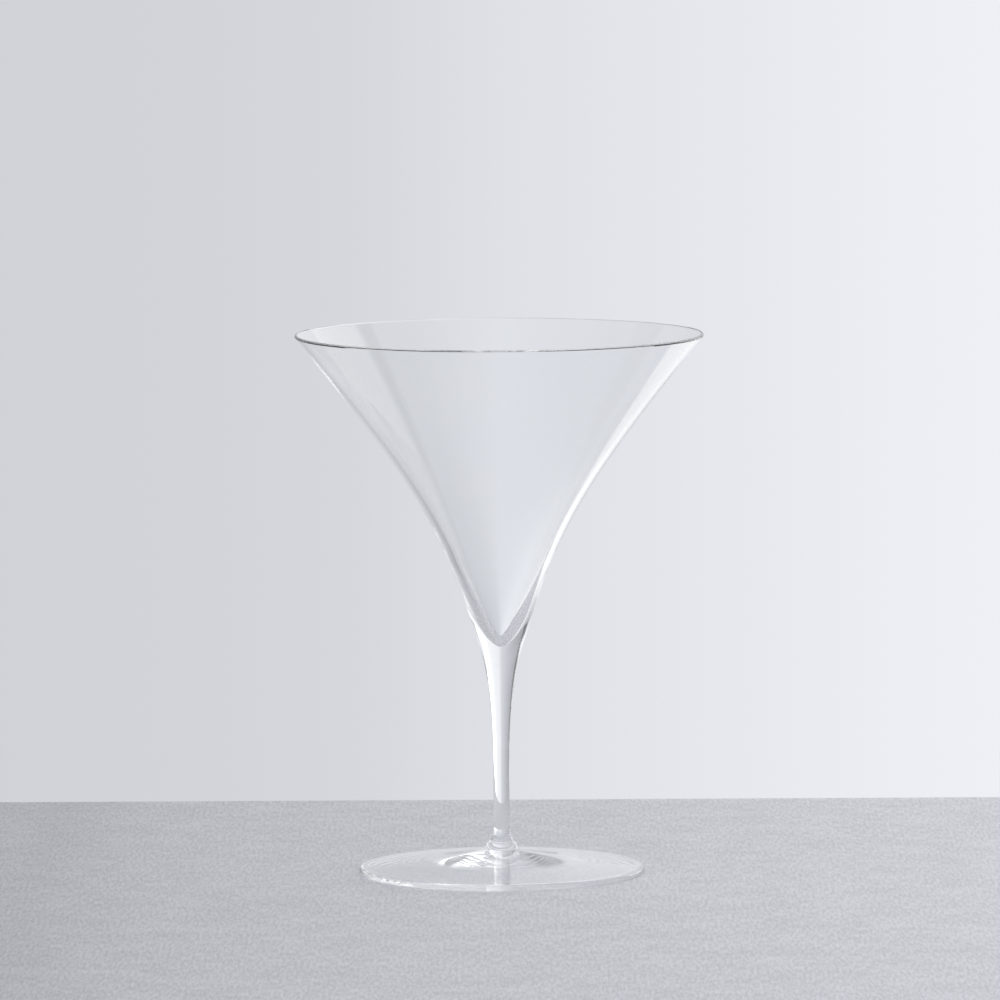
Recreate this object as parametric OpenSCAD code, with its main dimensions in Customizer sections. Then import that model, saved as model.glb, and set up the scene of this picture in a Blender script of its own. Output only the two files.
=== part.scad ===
// Martini glass in clear crystal: a flared bowl, a drawn stem and a round foot, joined hot.
// Upright is +Z, and the origin is the middle of the plane that the foot stands on.
// Outlines are half sections of [radius, height] points, each turned about the upright axis.

/* [Whole glass] */
// Height from the table to the top of the rim
glass_h = 152.5; // [140:0.5:180]

/* [Bowl] */
// Outside diameter of the rim
rim_d = 115; // [95:0.5:120]
// Lean of the bowl's outside at the rim, in degrees from upright
rim_lean = 39; // [34:0.5:44]
// Length over which the outside keeps the lean of the rim
rim_sweep = 48; // [30:1:55]
// Depth of the hollow, from the rim to its tip
bowl_depth = 87.5; // [75:0.5:100]
// Thickness of the wall at the fire-polished rim
rim_wall = 0.9; // [0.7:0.05:1.4]
// Thickness of the wall low in the bowl, where the hollow runs to its tip
low_wall = 1.85; // [1.5:0.05:2.5]
// Length over which the hollow's tip stays level, outwards from its middle
tip_sweep = 2.2; // [1:0.1:3]
// Thickness of the glass below the hollow's tip, down to the weld with the stem
bottom_wall = 5; // [3:0.5:8]

/* [Stem] */
// Diameter at the thinnest place, the waist
waist_d = 4.6; // [4:0.1:8]
// Height of the waist above the table
waist_h = 27; // [22:0.5:35]
// Diameter at the shoulder, where the outsides of stem and bowl meet
shoulder_d = 15.6; // [14:0.1:18]
// Rise of the shoulder above the tip of the hollow
shoulder_rise = 4.3; // [3:0.1:6]
// Lean of the outside at the shoulder, in degrees from upright
shoulder_lean = 16; // [12:0.5:20]
// Length over which the bowl's outside keeps the lean of the shoulder
shoulder_sweep = 30.5; // [20:0.5:36]
// Length over which the stem keeps the lean of the shoulder
neck_sweep = 6; // [3:0.5:8]
// Diameter of the stem's lower end, where it stands on the foot's button
stem_end_d = 7.5; // [6:0.1:8]
// Lean of the stem's flare at its lower end, in degrees from upright
stem_end_lean = 38; // [20:1:50]

/* [Foot] */
// Diameter of the foot
foot_d = 80.4; // [65:0.1:90]
// Thickness of the foot's rounded edge
foot_edge = 2.1; // [1.5:0.1:3]
// Slope of the foot's upper side at its edge, in degrees above level
edge_slope = 3; // [2:0.5:6]
// Height of the foot's upper side where it meets the button
crown_h = 6.8; // [5.5:0.1:9]
// Slope of the foot's upper side at the button, in degrees above level
crown_slope = 16.5; // [8:0.5:20]
// Height of the button that the stem stands on
button_h = 1.9; // [1:0.1:3]
// Diameter of the button at its top
button_top_d = 8; // [7.5:0.1:9.4]
// Diameter of the button at its base
button_base_d = 9.4; // [8:0.1:12]
// Height of the hollow under the foot, at its middle
kick_h = 3.7; // [1:0.1:4.5]
// Width of the ring that the foot rests on, around that hollow
rest_ring_w = 1; // [0.6:0.1:3]

/* [Hidden] */
$fn = 128;
CRYSTAL = [0.90, 0.94, 0.96, 0.45];

// Straight pieces that each swept curve is made of, and each rounded edge
CURVE_STEPS = 20;
EDGE_STEPS = 6;
// Step of the bowl's outside, from the shoulder, above which the wall follows it
WALL_STEP = 5;
// How quickly the wall thickens on its way down from the rim
WALL_GROWTH = 1.5;
// Shares of a curve's span that its handles take, where they have no length of their own
SHORT_HANDLE = 1 / 6;
HANDLE = 1 / 3;
WALL_HANDLE = 0.55;
LONG_HANDLE = 2 / 3;
SLIM_HANDLE = 3 / 4;
// Share of the weld's breadth at which it turns upwards
WELD_TURN = 1 / 4;

// Places that more than one outline shares
tip_h = glass_h - bowl_depth;
shoulder = [shoulder_d / 2, tip_h + shoulder_rise];
waist = [waist_d / 2, waist_h];
button_base = [button_base_d / 2, crown_h];
button_top = [button_top_d / 2, crown_h + button_h];
stem_end = [stem_end_d / 2, button_top[1]];
rest_r = (foot_d - foot_edge) / 2;
kick_r = rest_r - rest_ring_w;

// A step that leans outwards from upright by some degrees
function leaning(degrees, length) = length * [sin(degrees), cos(degrees)];

// Four control points: a curve leaves the first and arrives at the last along the handles
function handles(start, leave, end, arrive) = [start, start + leave, end - arrive, end];

// The point at share t of the way along a curve of four control points
function on_curve(p, t) =
    pow(1 - t, 3) * p[0] + 3 * pow(1 - t, 2) * t * p[1]
    + 3 * (1 - t) * pow(t, 2) * p[2] + pow(t, 3) * p[3];

// The direction in which the same curve runs there
function heading(p, t) =
    let (d = pow(1 - t, 2) * (p[1] - p[0]) + 2 * (1 - t) * t * (p[2] - p[1])
             + pow(t, 2) * (p[3] - p[2]))
    d / norm(d);

// A whole curve as points
function curve(p) = [for (i = [0 : CURVE_STEPS]) on_curve(p, i / CURVE_STEPS)];

// A round edge as points, from one direction to another, in degrees above outwards
function round_edge(centre, radius, from, to) =
    [for (i = [0 : EDGE_STEPS])
        let (a = from + (to - from) * i / EDGE_STEPS)
        centre + radius * [cos(a), sin(a)]];

// The last of some points, the same points turned round, and all of them but the first
function last(points) = points[len(points) - 1];
function reversed(points) = [for (i = [len(points) - 1 : -1 : 0]) points[i]];
function after_first(points) = [for (i = [1 : len(points) - 1]) points[i]];

// The fire-polished rim, from the outside of the wall over the top to the inside
rim = round_edge([(rim_d - rim_wall) / 2, glass_h - rim_wall / 2], rim_wall / 2,
                 -rim_lean, 180 - rim_lean);

// The outside of the bowl, from the shoulder up to the rim
bowl_line = handles(shoulder, leaning(shoulder_lean, shoulder_sweep),
                    rim[0], leaning(rim_lean, rim_sweep));

// The inside of the bowl follows the outside, with a wall that thickens downwards
function wall_at(t) =
    let (below_rim = (1 - t) * CURVE_STEPS / (CURVE_STEPS - WALL_STEP))
    rim_wall + (low_wall - rim_wall) * pow(below_rim, WALL_GROWTH);
function inside_of(t) =
    let (along = heading(bowl_line, t))
    on_curve(bowl_line, t) + wall_at(t) * [-along[1], along[0]];
bowl_inside = [for (i = [WALL_STEP : CURVE_STEPS]) inside_of(i / CURVE_STEPS)];

// Below that, the hollow runs to a rounded tip
hollow_tip = [0, tip_h];
hollow_arrival = WALL_HANDLE * norm(bowl_inside[0] - hollow_tip)
                 * heading(bowl_line, WALL_STEP / CURVE_STEPS);
hollow = curve(handles(hollow_tip, [tip_sweep, 0], bowl_inside[0], hollow_arrival));

// The weld of bowl and stem: the bowl's rounded point nests in the top of the stem
weld_tip = [0, tip_h - bottom_wall];
weld_turn = [WELD_TURN * shoulder[0], weld_tip[1]];
weld = curve(handles(weld_tip, LONG_HANDLE * (weld_turn - weld_tip),
                     shoulder, LONG_HANDLE * (shoulder - weld_turn)));

// The outside of the stem, from its lower end up to the waist and on to the shoulder
flare_h = waist[1] - stem_end[1];
stem_lower = curve(handles(stem_end, leaning(-stem_end_lean, SHORT_HANDLE * flare_h),
                           waist, [0, LONG_HANDLE * flare_h]));
stem_upper = curve(handles(waist, [0, SLIM_HANDLE * (shoulder[1] - waist[1])],
                           shoulder, leaning(shoulder_lean, neck_sweep)));

// The foot's rounded edge, from where it rests round to its upper side
foot_rim = round_edge([rest_r, foot_edge / 2], foot_edge / 2, -90, 90 - edge_slope);

// The foot's upper side, from its edge to the button
foot_span = HANDLE * (last(foot_rim)[0] - button_base[0]);
foot_top = curve(handles(last(foot_rim), foot_span * [-1, tan(edge_slope)],
                         button_base, foot_span * [-1, tan(crown_slope)]));

// The hollow under the foot, from its middle out to the ring that rests on the table
kick_span = HANDLE * kick_r;
kick = curve(handles([0, kick_h], [kick_span, 0],
                     [kick_r, 0], [kick_span, -HANDLE * kick_h]));

// Solid glass, made by turning a half section about the upright axis
module turned(outline) {
    color(CRYSTAL)
    rotate_extrude()
    polygon(outline);
}

module bowl() {
    turned(concat(weld, after_first(curve(bowl_line)), after_first(rim),
                  after_first(reversed(bowl_inside)), after_first(reversed(hollow))));
}

module stem() {
    turned(concat([[0, stem_end[1]]], stem_lower, after_first(stem_upper),
                  after_first(reversed(weld))));
}

module foot() {
    turned(concat(kick, foot_rim, after_first(foot_top), [button_top, [0, button_top[1]]]));
}

bowl();
stem();
foot();
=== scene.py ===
# %% [markdown]
# # A martini glass in clear crystal
# The glass is three gathers joined while they are hot: a blown bowl, a drawn stem and a pressed
# foot. Clear glass has no colour of its own, so almost all that the eye gets is bent and mirrored
# light. That makes two things matter more than any paint: the exact shape of both sides of the
# wall, and the room that the glass stands in.

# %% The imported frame
import math

import bmesh
import bpy
import numpy as np
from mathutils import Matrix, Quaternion, Vector


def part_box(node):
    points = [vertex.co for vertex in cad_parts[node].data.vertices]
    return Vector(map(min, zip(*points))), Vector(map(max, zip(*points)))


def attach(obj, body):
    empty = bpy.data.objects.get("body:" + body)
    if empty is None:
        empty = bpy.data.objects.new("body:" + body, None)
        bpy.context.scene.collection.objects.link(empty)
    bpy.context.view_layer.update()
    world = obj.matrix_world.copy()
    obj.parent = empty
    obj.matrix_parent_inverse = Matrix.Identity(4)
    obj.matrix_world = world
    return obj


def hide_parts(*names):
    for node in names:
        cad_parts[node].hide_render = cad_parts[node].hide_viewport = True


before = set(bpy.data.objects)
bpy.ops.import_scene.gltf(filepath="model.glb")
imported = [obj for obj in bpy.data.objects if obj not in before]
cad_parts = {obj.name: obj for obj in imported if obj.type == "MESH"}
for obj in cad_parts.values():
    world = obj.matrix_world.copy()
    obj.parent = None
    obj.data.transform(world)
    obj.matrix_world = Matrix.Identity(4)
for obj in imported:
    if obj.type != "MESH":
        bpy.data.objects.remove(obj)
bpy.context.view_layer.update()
MM = 0.001

for name in sorted(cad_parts):
    low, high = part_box(name)
    print(f"{name}: {(high.x - low.x) / MM:.1f} mm across, "
          f"from {low.z / MM:.1f} to {high.z / MM:.1f} mm up")

# %% [markdown]
# ## Reading the half section of a turned piece
# Everything here was shaped on a turning iron, so half of its cut face tells its whole shape. The
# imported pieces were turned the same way, and each has a seam: a row of edges in the plane y = 0, on
# the side where x is positive. Followed from the axis, the seam gives the half section, and the
# piece can be turned again in Blender much more finely. That keeps one drawing for both models.

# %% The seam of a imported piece
SAME = 0.002 * MM
DIGITS = 6


def seam_of(mesh):
    """The seam's points by key, and for each key the keys that its edges lead to."""
    places, links = {}, {}
    for edge in mesh.edges:
        ends = [mesh.vertices[i].co for i in edge.vertices]
        if all(abs(end.y) < SAME and end.x > -SAME for end in ends):
            keys = [(round(max(end.x, 0), DIGITS), round(end.z, DIGITS)) for end in ends]
            for key, other, end in zip(keys, reversed(keys), ends):
                places[key] = (max(end.x, 0), end.z)
                links.setdefault(key, set()).add(other)
    return places, links


def half_section(node):
    """The half section as rows of radius and height, from the axis and back to it."""
    places, links = seam_of(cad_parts[node].data)
    path = [min(places)]
    while len(path) < len(places):
        waiting = [key for key in links[path[-1]] if key not in path]
        if not waiting:  # a flat disc or ring has no edge along the seam
            waiting = [key for key in places if key not in path]
        path.append(min(waiting, key=lambda key: math.dist(key, path[-1])))
    points = [places[key] for key in path]
    if points[-1][0] > SAME:
        points.append((0.0, points[-1][1]))
    return np.array(points)


# %% Only the corners
STRAIGHT = 0.0004 * MM


def corners_of(points):
    """The points without those that lie on the line between their neighbours."""
    kept = [points[0]]
    for here, after in zip(points[1:-1], points[2:]):
        along = after - kept[-1]
        offset = here - kept[-1]
        away = abs(along[0] * offset[1] - along[1] * offset[0]) / math.hypot(*along)
        if away > STRAIGHT:
            kept.append(here)
    return np.array(kept + [points[-1]])


sections = {node: corners_of(half_section(node)) for node in ("bowl", "stem", "foot")}
for node, section in sections.items():
    print(f"{node}: {len(section)} corners, starts at radius {section[0][0] / MM:.2f} mm, "
          f"height {section[0][1] / MM:.2f} mm")

# %% [markdown]
# ## From corners to a smooth line
# A straight-sided section would show every corner as a line in the reflections. Fire and the spin
# leave glass perfectly smooth, so a curve is passed through the corners. Even its curvature must
# not jump, because a mirror shows that as a nick in every line it reflects, so the curve is a cubic
# spline. A spline rings where a long sweep meets a tiny rounded edge, so the outline is split
# there first: at a corner where the outline turns far more sharply on one side than on the other.

# %% Where a sweep meets a rounded edge
SUDDEN = 4.0
SLIGHT_TURN = math.radians(5)


def split(points, *cuts):
    """The points as runs that share their end points."""
    ends = [0, *cuts, len(points) - 1]
    return [points[a:b + 1] for a, b in zip(ends, ends[1:])]


def sudden_corners(points):
    """The numbers of the corners where a sweep meets a much rounder edge."""
    steps = np.diff(points, axis=0)
    lengths = np.hypot(steps[:, 0], steps[:, 1])
    chords = steps / lengths[:, None]
    turns = np.arccos(np.clip((chords[:-1] * chords[1:]).sum(axis=1), -1, 1))
    bends = turns / (lengths[:-1] + lengths[1:])
    return [i + 1 for i in range(1, len(turns) - 1) if turns[i] > SLIGHT_TURN
            and max(bends[i - 1], bends[i + 1]) > SUDDEN * min(bends[i - 1], bends[i + 1])]


# %% A spline through the corners
def spline(values, at, start, end, wanted):
    """A cubic spline through values, with a given slope at an end, or none to let it run free."""
    count, gap = len(values), np.diff(at)
    slope = np.diff(values) / gap
    matrix, right = np.zeros((count, count)), np.zeros(count)
    for i in range(1, count - 1):
        matrix[i, i - 1:i + 2] = gap[i - 1], 2 * (gap[i - 1] + gap[i]), gap[i]
        right[i] = 6 * (slope[i] - slope[i - 1])
    if start is None:
        matrix[0, :3] = gap[1], -gap[0] - gap[1], gap[0]
    else:
        matrix[0, :2], right[0] = (2 * gap[0], gap[0]), 6 * (slope[0] - start)
    if end is None:
        matrix[-1, -3:] = gap[-1], -gap[-1] - gap[-2], gap[-2]
    else:
        matrix[-1, -2:], right[-1] = (gap[-1], 2 * gap[-1]), 6 * (end - slope[-1])
    bend = np.linalg.solve(matrix, right)
    i = np.clip(np.searchsorted(at, wanted, side="right") - 1, 0, count - 2)
    ahead, behind = at[i + 1] - wanted, wanted - at[i]
    return ((bend[i] * ahead ** 3 + bend[i + 1] * behind ** 3) / (6 * gap[i])
            + (values[i] / gap[i] - bend[i] * gap[i] / 6) * ahead
            + (values[i + 1] / gap[i] - bend[i + 1] * gap[i] / 6) * behind)


def smooth_run(points, substeps):
    """One sweep or one rounded edge, with every chord replaced by some shorter ones."""
    at = np.concatenate([[0], np.cumsum(np.hypot(*np.diff(points, axis=0).T))])
    shares = np.arange(substeps) / substeps
    wanted = np.append((at[:-1, None] + np.diff(at)[:, None] * shares).ravel(), at[-1])
    if len(points) == 2:
        return points[0] + (points[1] - points[0]) * (wanted / at[-1])[:, None]
    # a curved surface crosses the axis level
    start = (1, 0) if points[0][0] < SAME else (None, None)
    end = (-1, 0) if points[-1][0] < SAME else (None, None)
    return np.column_stack([spline(points[:, k], at, start[k], end[k], wanted) for k in (0, 1)])


def smooth_line(points, substeps):
    """The whole outline, smooth through each of its corners."""
    runs = [smooth_run(run, substeps) for run in split(points, *sudden_corners(points))]
    return np.concatenate([runs[0], *[run[1:] for run in runs[1:]]])


# %% [markdown]
# ## Where one gather is joined to the next
# The joints between bowl, stem and foot are made hot, and no surface is left inside the glass
# there. The three meshes stay closed and meet face to face, so each keeps its weld as its own run
# of faces with its own finish, which lets light straight through.

# %% The runs of each section
def first_at(points, height):
    """The number of the first point that is at least that high."""
    return next(i for i, point in enumerate(points) if point[1] > height - SAME)


shoulder_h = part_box("stem")[1].z
stem_end_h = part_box("stem")[0].z

# the stem's section ends with its lower end and the middle of that flat end
bowl_weld, bowl_skin = split(sections["bowl"], first_at(sections["bowl"], shoulder_h))
stem_weld, stem_skin, stem_disc = split(
    sections["stem"], first_at(sections["stem"], shoulder_h), len(sections["stem"]) - 2)
stem_end_r = stem_disc[0][0]
print(f"the shoulder is {shoulder_h / MM:.1f} mm up, and the stem ends {stem_end_h / MM:.1f} mm up "
      f"at radius {stem_end_r / MM:.2f} mm")

foot = sections["foot"]
ring = [i for i, point in enumerate(foot) if point[1] < SAME]
# the foot's section ends with the button's base, its upper edge and its middle
button_base = len(foot) - 3
foot_hollow, foot_ring, foot_top, button_side, button_top = split(
    foot, ring[0], ring[-1], button_base, button_base + 1)
button_rim, foot_disc = split(np.insert(button_top, 1, (stem_end_r, stem_end_h), axis=0), 1)
print(f"the foot rests on a ring from {foot_ring[0][0] / MM:.1f} to {foot_ring[-1][0] / MM:.1f} mm out")

# %% [markdown]
# ## Tool marks on the foot
# The foot is pressed flat with a pair of wooden paddles while it spins, and they leave rings on its
# upper side, far too low to feel. They still bend the light, so they are modelled: rings a few
# thousandths of a millimetre high, strongest two thirds of the way out, that fade towards the
# button and towards the edge.

# %% Rings left by the paddles
MARK_H = 0.004 * MM
MARK_PITCH = 1.3 * MM
MARKS_FROM, MARKS_TO = 0.45, 0.9


def with_tool_marks(line):
    """The foot's upper side with low rings on it."""
    reach = line[:, 0] / line[:, 0].max()
    share = np.clip((reach - MARKS_FROM) / (MARKS_TO - MARKS_FROM), 0, 1)
    swell = np.sin(math.pi * share) ** 2
    marked = line.copy()
    marked[:, 1] += MARK_H * swell * np.sin(2 * math.pi * line[:, 0] / MARK_PITCH)
    return marked


# %% [markdown]
# ## Turning a section
# bmesh could spin the outline, but a lathe written out as rings of points is just as short and says
# exactly where each face gets its finish. The end points lie on the axis and close the solid with a
# fan of triangles, so each piece is watertight. An edge that turns by more than SHARP stays a crease.
# Smooth shading across such an edge would lean the light on both sides of it, and glass would show
# that as nicks.

# %% The lathe
ROUND_STEPS = 384
SHARP = math.radians(12)


def turned(name, runs):
    """A watertight piece from runs of (line, number of its finish)."""
    points = [tuple(runs[0][0][0])]
    finish_of = []
    for line, finish in runs:
        points += [tuple(point) for point in line[1:]]
        finish_of += [finish] * (len(line) - 1)
    angles = np.arange(ROUND_STEPS) * 2 * math.pi / ROUND_STEPS
    verts, rings = [], []
    for radius, height in points:
        around = angles if radius > SAME else angles[:1]
        rings.append(len(verts) + np.arange(len(around)))
        verts += np.column_stack([radius * np.cos(around), radius * np.sin(around),
                                  np.full(len(around), height)]).tolist()
    faces = []
    for inner, outer in zip(rings, rings[1:]):
        if len(inner) == 1:
            sides = [np.full(ROUND_STEPS, inner[0]), outer, np.roll(outer, -1)]
        elif len(outer) == 1:
            sides = [inner, np.full(ROUND_STEPS, outer[0]), np.roll(inner, -1)]
        else:
            sides = [inner, outer, np.roll(outer, -1), np.roll(inner, -1)]
        faces += np.column_stack(sides).tolist()
    mesh = bpy.data.meshes.new(name)
    mesh.from_pydata(verts, [], faces)
    mesh.polygons.foreach_set("material_index", np.repeat(finish_of, ROUND_STEPS).astype(np.int32))
    piece = bpy.data.objects.new(name, mesh)
    bpy.context.scene.collection.objects.link(piece)
    return piece


def facing_out(mesh):
    """Turns all faces outwards, and gives the volume that the mesh holds."""
    solid = bmesh.new()
    solid.from_mesh(mesh)
    if solid.calc_volume(signed=True) < 0:
        bmesh.ops.reverse_faces(solid, faces=solid.faces)
        solid.to_mesh(mesh)
    volume = solid.calc_volume(signed=True)
    solid.free()
    return volume


# %% The three gathers
SKIN, WELD = 0, 1
FINE, FINER = 6, 12

pieces = {
    "bowl": turned("crystal_bowl", [(smooth_line(bowl_weld, FINE), WELD),
                                    (smooth_line(bowl_skin, FINE), SKIN)]),
    "stem": turned("crystal_stem", [(smooth_line(stem_disc[::-1], 1), WELD),
                                    (smooth_line(stem_skin[::-1], FINE), SKIN),
                                    (smooth_line(stem_weld[::-1], FINE), WELD)]),
    "foot": turned("crystal_foot", [(smooth_line(foot_hollow, FINE), SKIN),
                                    (smooth_line(foot_ring, 1), SKIN),
                                    (with_tool_marks(smooth_line(foot_top, FINER)), SKIN),
                                    (smooth_line(button_side, 1), SKIN),
                                    (smooth_line(button_rim, 1), SKIN),
                                    (smooth_line(foot_disc, 1), WELD)]),
}
for node, piece in pieces.items():
    volume = facing_out(piece.data)
    piece.data.shade_smooth()
    piece.data.set_sharp_from_angle(angle=SHARP)
    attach(piece, "root")
    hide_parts(node)
    print(f"{piece.name}: {len(piece.data.polygons)} faces, {volume / MM ** 3:.0f} mm3")

# %% [markdown]
# ## Writing finishes as sums
# A finish is a small graph of nodes. Wrapped in a class, the sockets of those nodes can be added
# and multiplied like numbers, and the Math nodes come by themselves. Every other node comes from
# one method, which sets the node's own settings first and then its sockets.

# %% Fields and finishes
class Field:
    """One output of a node, which can be used in sums."""

    def __init__(self, finish, socket):
        self.finish = finish
        self.socket = socket

    def math(self, operation, first, second=0.0):
        return self.finish.node("ShaderNodeMath", {"operation": operation}, {0: first, 1: second})

    def __add__(self, other):
        return self.math("ADD", self, other)

    def __radd__(self, other):
        return self.math("ADD", other, self)

    def __mul__(self, other):
        return self.math("MULTIPLY", self, other)

    def __rmul__(self, other):
        return self.math("MULTIPLY", other, self)

    def __truediv__(self, other):
        return self.math("DIVIDE", self, other)

    def __rtruediv__(self, other):
        return self.math("DIVIDE", other, self)

    def output(self, name):
        """Another output of the same node."""
        return Field(self.finish, self.socket.node.outputs[name])


class Finish:
    """A material that is being made, node by node."""

    def __init__(self, name):
        self.material = bpy.data.materials.new(name)
        self.material.use_nodes = True
        self.tree = self.material.node_tree
        self.tree.nodes.clear()

    def node(self, kind, settings=None, values=None):
        """A new node's first output. Settings come first, then the values or links of its sockets."""
        made = self.tree.nodes.new(kind)
        for name, value in (settings or {}).items():
            if name == "stops":
                while len(made.color_ramp.elements) < len(value):
                    made.color_ramp.elements.new(1.0)
                for element, (position, colour) in zip(made.color_ramp.elements, value):
                    element.position = position
                    element.color = (*colour, 1)
            else:
                setattr(made, name, value)
        for name, value in (values or {}).items():
            if isinstance(value, Field):
                self.tree.links.new(value.socket, made.inputs[name])
            else:
                made.inputs[name].default_value = value
        return Field(self, made.outputs[0]) if made.outputs else None

    def mixed(self, share, first, second):
        """A colour between two others."""
        colours = self.node("ShaderNodeMix", {"data_type": "RGBA"}, {0: share, 6: first, 7: second})
        return colours.output(2)

    def surface(self, shader):
        """Ends the graph with its shader, and gives the material."""
        self.node("ShaderNodeOutputMaterial", None, {"Surface": shader})
        return self.material


# %% [markdown]
# ## Crystal
# Lead-free crystal bends light by about 1.5 and has a fire-polished skin. A perfect skin looks like
# a drawing, though. Real glass was pulled while it was soft, and it has striae: long faint waves
# that run the way it was drawn. Wiping leaves the faintest haze. Both are noise: the waves are
# stretched upwards in the bowl and the stem and lie evenly in the pressed foot. Both stay close to
# nothing: waves less than two hundredths of a millimetre high, and a roughness that hardly leaves
# zero.

# %% The crystal of each gather
CRYSTAL_BEND = 1.5
WATER_WHITE = (1.0, 1.0, 1.0, 1)
COOL_WHITE = (0.985, 0.995, 1.0, 1)
WIPED_HAZE = 0.01
HAZE_FROM, HAZE_TO = 0.6, 0.8
HAZE_NOISE = {"Scale": 45.0, "Detail": 3.0, "Roughness": 0.6}
WAVE_H = 0.02 * MM
WAVE_STRENGTH = 0.15
WAVE_NOISE = {"Detail": 1.0, "Roughness": 0.4}


def crystal(name, stretch, wave_scale):
    """Clear glass whose faint waves are stretched along the way that it was drawn."""
    glass = Finish(name)
    place = glass.node("ShaderNodeTexCoord").output("Object")
    drawn = glass.node("ShaderNodeVectorMath", {"operation": "MULTIPLY"}, {0: place, 1: stretch})
    waves = glass.node("ShaderNodeTexNoise", None,
                       {"Vector": drawn, "Scale": wave_scale, **WAVE_NOISE})
    wiped = glass.node("ShaderNodeTexNoise", None, {"Vector": place, **HAZE_NOISE})
    bump = glass.node("ShaderNodeBump", None,
                      {"Strength": WAVE_STRENGTH, "Distance": WAVE_H, "Height": waves})
    haze = glass.node("ShaderNodeMapRange", {"interpolation_type": "SMOOTHSTEP"},
                      {"Value": wiped, "From Min": HAZE_FROM, "From Max": HAZE_TO,
                       "To Max": WIPED_HAZE})
    return glass.surface(glass.node("ShaderNodeBsdfPrincipled", None, {
        "Base Color": glass.mixed(wiped, WATER_WHITE, COOL_WHITE),
        "Roughness": haze,
        "IOR": CRYSTAL_BEND,
        "Transmission Weight": 1.0,
        "Normal": bump,
    }))


ALONG_UPRIGHT = (1.0, 1.0, 0.06)
EVEN = (1.0, 1.0, 1.0)
BROAD_WAVES, NARROW_WAVES, FOOT_WAVES = 60.0, 400.0, 90.0

crystals = {
    "bowl": crystal("blown_crystal", ALONG_UPRIGHT, BROAD_WAVES),
    "stem": crystal("drawn_crystal", ALONG_UPRIGHT, NARROW_WAVES),
    "foot": crystal("pressed_crystal", EVEN, FOOT_WAVES),
}

# %% [markdown]
# ## The welds
# A weld has no skin of its own, so its faces let light through without bending it. The two pieces
# that meet there then look like one body of glass.

# %% The welds
weld = Finish("hot_weld")
weld = weld.surface(weld.node("ShaderNodeBsdfTransparent"))

for node, piece in pieces.items():
    piece.data.materials.append(crystals[node])
    piece.data.materials.append(weld)
    print(f"{piece.name}: {[slot.name for slot in piece.material_slots]}")

# %% [markdown]
# ## The tabletop
# The glass stands on a pale, matt top with a fine mineral grain, about the glass's own height away
# from its far edge. That edge matters: the lower part of the bowl mirrors it, and the stem shows it
# upside down. The top lies a hair below the foot, because the real ring touches in a few places and
# never lies on the table like a sheet of water.

# %% The tabletop
TABLE_BEHIND = 161.5 * MM
TABLE_FRONT = 1100 * MM
TABLE_HALF_W = 600 * MM
TABLE_THICK = 22 * MM
TABLE_GAP = 0.03 * MM
EDGE_R = 1.5 * MM
EDGE_STEPS = 4


def slab(name, low, high, edge_r):
    """A box between two corners, with its edges rounded."""
    corners = [(x, y, z) for x in (low[0], high[0])
               for y in (low[1], high[1]) for z in (low[2], high[2])]
    mesh = bpy.data.meshes.new(name)
    mesh.from_pydata(corners, [], [(0, 1, 3, 2), (4, 6, 7, 5), (0, 4, 5, 1),
                                   (2, 3, 7, 6), (0, 2, 6, 4), (1, 5, 7, 3)])
    made = bpy.data.objects.new(name, mesh)
    bpy.context.scene.collection.objects.link(made)
    rounded = made.modifiers.new("edges", "BEVEL")
    rounded.width = edge_r
    rounded.segments = EDGE_STEPS
    return made


top = slab("tabletop", (-TABLE_HALF_W, -TABLE_FRONT, -TABLE_GAP - TABLE_THICK),
           (TABLE_HALF_W, TABLE_BEHIND, -TABLE_GAP), EDGE_R)

# %% [markdown]
# ## The stone's finish
# The stone's colour has painted light in it: it is made paler to the right, where the window's light
# would fall more strongly. Its grain is fine speckle over soft clouds, and the speckle is drawn out
# towards the front, the way the top was rubbed down.

# %% Rubbed stone
# Painted light: this paleness rises from left to right in place of the window's light falling across
# the top.
STONE_PAINTED_WINDOW_LIGHT = [  # share of the way from left to right, and the paleness there
    (0.08, 0.68), (0.20, 0.77), (0.40, 0.83), (0.60, 0.87), (0.92, 0.95),
]
STONE_COOL = np.array([1.0, 1.003, 1.03])
STONE_REACH = 160 * MM
STONE_ROUGHNESS = 0.85
STONE_GLOSS = 0.25
GRAIN_DEPTH = 0.80
GRAIN_FROM, GRAIN_TO = 0.38, 0.62
GRAIN_H = 0.08 * MM
GRAIN_STRENGTH = 0.4
RUBBED = (1.0, 0.14, 1.0)
SPECKLE_NOISE = {"Scale": 1200.0, "Detail": 2.0, "Roughness": 0.6}
SPECKLE_SHARE = 0.75
CLOUD_NOISE = {"Scale": 60.0, "Detail": 3.0, "Roughness": 0.55}

stone = Finish("pale_stone")
place = stone.node("ShaderNodeTexCoord").output("Object")
rubbed = stone.node("ShaderNodeVectorMath", {"operation": "MULTIPLY"}, {0: place, 1: RUBBED})
speckle = stone.node("ShaderNodeTexNoise", None, {"Vector": rubbed, **SPECKLE_NOISE})
clouds = stone.node("ShaderNodeTexNoise", None, {"Vector": place, **CLOUD_NOISE})
grain = stone.node("ShaderNodeMapRange", None,
                   {"Value": speckle * SPECKLE_SHARE + clouds * (1 - SPECKLE_SHARE),
                    "From Min": GRAIN_FROM, "From Max": GRAIN_TO})
across = stone.node("ShaderNodeSeparateXYZ", None, {"Vector": place}).output("X")
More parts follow.
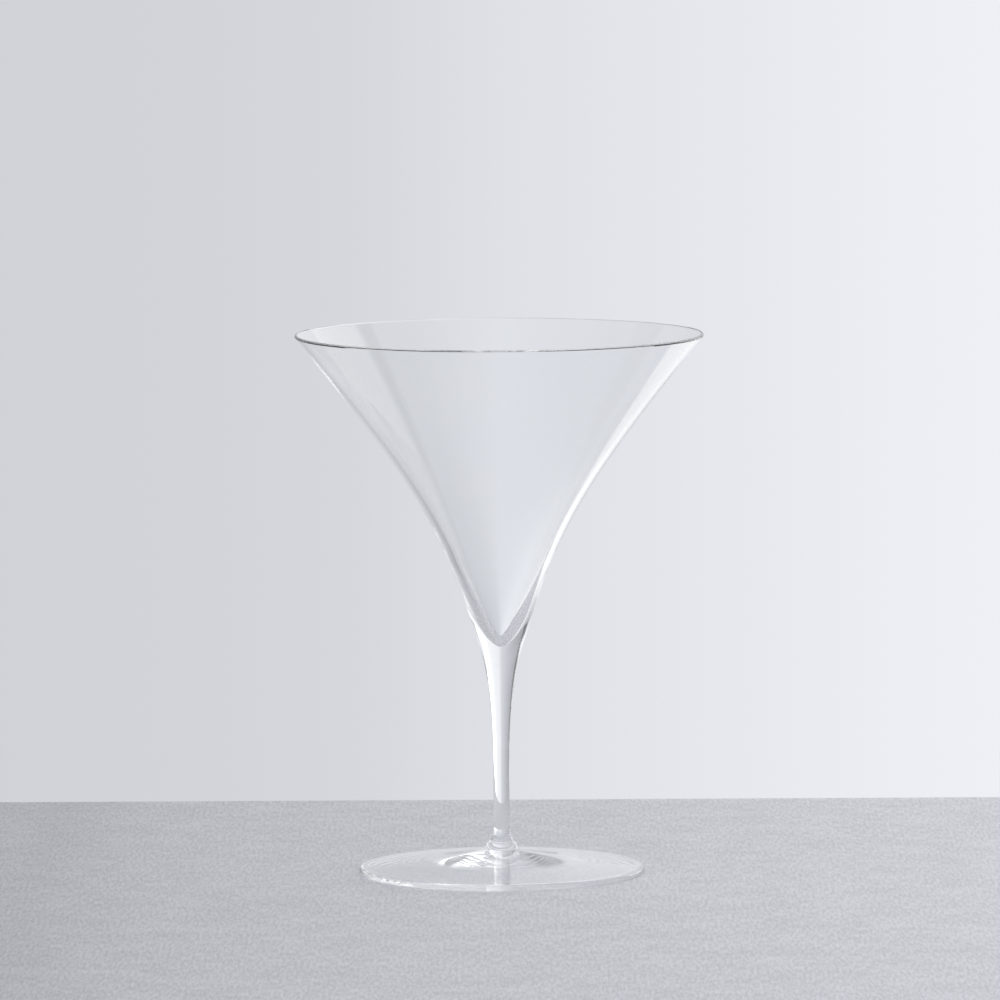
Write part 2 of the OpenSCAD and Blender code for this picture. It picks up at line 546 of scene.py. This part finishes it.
# Painted light: the ramp makes the stone's colour paler towards the window on the right, and the grain
# darkens that painted light in places.
lit = stone.node("ShaderNodeMapRange", None,
                 {"Value": across, "From Min": -STONE_REACH, "From Max": STONE_REACH})
painted_light_stone = stone.node("ShaderNodeValToRGB",
                  {"stops": [(share, tuple(light * STONE_COOL)) for share, light in STONE_PAINTED_WINDOW_LIGHT]},
                  {"Fac": lit})
deep = stone.node("ShaderNodeVectorMath", {"operation": "SCALE"}, {0: painted_light_stone, "Scale": GRAIN_DEPTH})
stone_bump = stone.node("ShaderNodeBump", None,
                        {"Strength": GRAIN_STRENGTH, "Distance": GRAIN_H, "Height": speckle})
top.data.materials.append(stone.surface(stone.node("ShaderNodeBsdfPrincipled", None, {
    "Base Color": stone.mixed(grain, deep, painted_light_stone),
    "Roughness": STONE_ROUGHNESS,
    "Specular IOR Level": STONE_GLOSS,
    "Normal": stone_bump,
})))
print(f"the tabletop reaches {TABLE_BEHIND / MM:.0f} mm behind the glass")

# %% [markdown]
# ## The room
# Glass mirrors and bends whatever stands round it, so a single lamp would leave it black. A large
# glowing shell is the room: a pale wall that brightens from left to right, as beside a window, and
# grows dark far to the left. The graph below finds the compass direction of each point of the shell,
# with 0 straight behind the glass and positive numbers to the right, and a ramp gives that direction
# its light.

# %% The shell of the room
ROOM_R = 4.0
ROOM_STEPS = 96
ROOM_LIGHT = [  # compass direction in degrees, and its brightness
    (-180, 0.98), (-110, 0.50), (-75, 0.20), (-52, 0.32), (-38, 0.42), (-15, 0.56), (-5, 0.65),
    (-2.4, 0.665), (-1.2, 0.69), (0, 0.75), (5, 0.88), (15, 0.93), (27, 1.0), (52, 0.9), (90, 0.70),
    (180, 0.98),
]
ROOM_COOL = np.array([0.965, 0.99, 1.065])
ROOM_WARM = np.array([0.985, 1.0, 1.03])
WARM_FROM, WARM_TO = -20, 20
BRIGHTEST = 1.1


def glowing(name, colour, strength):
    """A surface that only shines."""
    finish = colour.finish if isinstance(colour, Field) else Finish(name)
    return finish.surface(finish.node("ShaderNodeEmission", None,
                                      {"Color": colour, "Strength": strength}))


def wall_colour(direction, light):
    """The wall's colour in one direction: cooler to the left, where less window light falls."""
    warmth = min(max((direction - WARM_FROM) / (WARM_TO - WARM_FROM), 0), 1)
    tint = ROOM_COOL + (ROOM_WARM - ROOM_COOL) * warmth
    return tuple(light / BRIGHTEST * tint)


wall = Finish("room_wall")
position = wall.node("ShaderNodeNewGeometry").output("Position")
parts = wall.node("ShaderNodeSeparateXYZ", None, {"Vector": position})
compass = parts.math("ARCTAN2", parts.output("X"), parts.output("Y")) / (2 * math.pi) + 0.5
stops = [((direction + 180) / 360, wall_colour(direction, light)) for direction, light in ROOM_LIGHT]
room_light = wall.node("ShaderNodeValToRGB", {"stops": stops}, {"Fac": compass})

bpy.ops.mesh.primitive_uv_sphere_add(segments=ROOM_STEPS, ring_count=ROOM_STEPS // 2, radius=ROOM_R)
room = bpy.context.object
room.name = "room"
room.data.shade_smooth()
room.data.materials.append(glowing("room_wall", room_light, BRIGHTEST))
print(f"the room is a shell {2 * ROOM_R:.0f} m across")

# %% [markdown]
# ## The window and what it lights
# A bright window stands to the right behind the glass, out of view. It draws the long white band
# down the bowl's right side and fills the left half of the stem, which bends the room round like a
# lens. The floor below it is lit too, and reaches further round behind the table. A dark curtain
# stands beside it, and a darker one to the left: crystal needs something dark to mirror as much as
# something light.

# %% Panels that stand round the glass
PANEL_AWAY = 1.2


def panel(name, directions, heights, brightness):
    """A standing sheet of light between two compass directions and two heights."""
    foot_points = [(PANEL_AWAY * math.sin(math.radians(a)), PANEL_AWAY * math.cos(math.radians(a)))
                   for a in directions]
    (xa, ya), (xb, yb) = foot_points
    low, high = heights
    mesh = bpy.data.meshes.new(name)
    mesh.from_pydata([(xa, ya, low), (xb, yb, low), (xb, yb, high), (xa, ya, high)],
                     [], [(0, 1, 2, 3)])
    sheet = bpy.data.objects.new(name, mesh)
    bpy.context.scene.collection.objects.link(sheet)
    sheet.data.materials.append(glowing(name, (1.0, 1.0, 1.0, 1), brightness))


PANELS = {  # compass directions in degrees, heights in metres, and brightness
    "window": ((27, 58), (-0.2, 0.25), 2.0),
    "window_top": ((27, 58), (0.25, 1.6), 1.3),
    "lit_floor": ((18, 58), (-0.9, -0.2), 1.1),
    "curtain": ((60, 68), (-0.9, 1.6), 0.35),
    "left_curtain": ((-62, -46), (-0.05, 1.6), 0.12),
}
for name, (directions, heights, brightness) in PANELS.items():
    panel(name, directions, heights, brightness)
print(f"{len(PANELS)} panels stand {PANEL_AWAY:.1f} m away")

# %% [markdown]
# ## The camera
# A long lens from well back keeps the rim's ellipse flat and the sides of the stem parallel. The
# camera stands a little above the rim and looks down by less than six degrees.

# %% The camera
CAMERA_AWAY = 2.7
CAMERA_H = 0.37
AIM_H = 0.1056
LENS = 347.4
SENSOR_W = 36
VIEW_END = 20
TILT = math.radians(-0.3)

lens = bpy.data.cameras.new("camera")
lens.lens = LENS
lens.sensor_width = SENSOR_W
lens.clip_end = VIEW_END
camera = bpy.data.objects.new("camera", lens)
camera.location = (0, -CAMERA_AWAY, CAMERA_H)
aim = Vector((0, 0, AIM_H)) - camera.location
camera.rotation_mode = "QUATERNION"
camera.rotation_quaternion = aim.to_track_quat("-Z", "Y") @ Quaternion((0, 0, 1), TILT)
bpy.context.scene.collection.objects.link(camera)
bpy.context.scene.camera = camera
print(f"the camera looks down by {math.degrees(math.atan2(CAMERA_H - AIM_H, CAMERA_AWAY)):.1f} degrees")

# %% [markdown]
# ## Light paths
# A path that enters the foot can turn dozens of times before it leaves. Cut short, it turns black,
# so the limits on its turns are raised. The blur that Cycles puts on light that has come through
# glass is switched off, because it leaves the tabletop under the foot far too dark. Colours are shown
# as they are, with no film curve over them.

# %% Light paths and display
TURNS = 96
WELDS_CROSSED = 32

cycles = bpy.context.scene.cycles
cycles.max_bounces = TURNS
cycles.transmission_bounces = TURNS
cycles.glossy_bounces = TURNS
cycles.transparent_max_bounces = WELDS_CROSSED
cycles.blur_glossy = 0.0
bpy.context.scene.view_settings.view_transform = "Standard"
